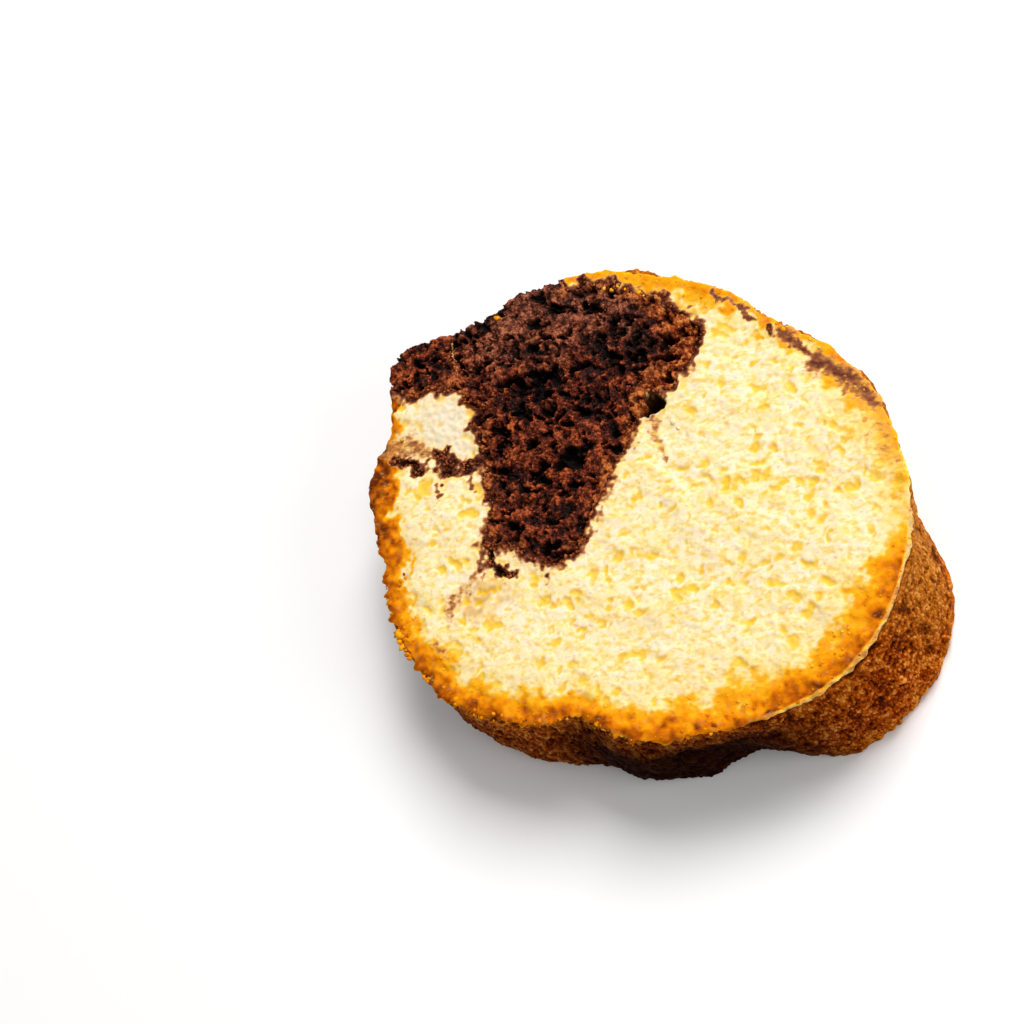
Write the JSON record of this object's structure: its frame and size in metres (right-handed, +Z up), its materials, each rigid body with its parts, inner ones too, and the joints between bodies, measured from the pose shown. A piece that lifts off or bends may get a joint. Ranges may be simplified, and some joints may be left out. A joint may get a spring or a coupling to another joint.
{
  "type": "marble loaf cake slice",
  "caption": "Thick slice of marble loaf cake lying on its back cut, with a cocoa swirl in pale sponge on the upper cut face and a browned, gently lobed crust round the side.",
  "frame": {"origin": "middle of the box round the slice, on the flat back cut that it lies on", "axes": "+Z up through the thickness to the marbled cut face, +X across the slice, +Y from the tin crust towards the domed top"},
  "size_m": [0.1076, 0.0946, 0.024],
  "materials": {
    "sponge": "matt, open baked crumb of vanilla sponge",
    "cocoa_sponge": "matt, coarse moist crumb of cocoa sponge",
    "crust": "browned, finely pitted baked crust with a slight greasy sheen"
  },
  "bodies": {
    "root": {"marble_cake_slice": "sponge"}
  },
  "joints": []
}
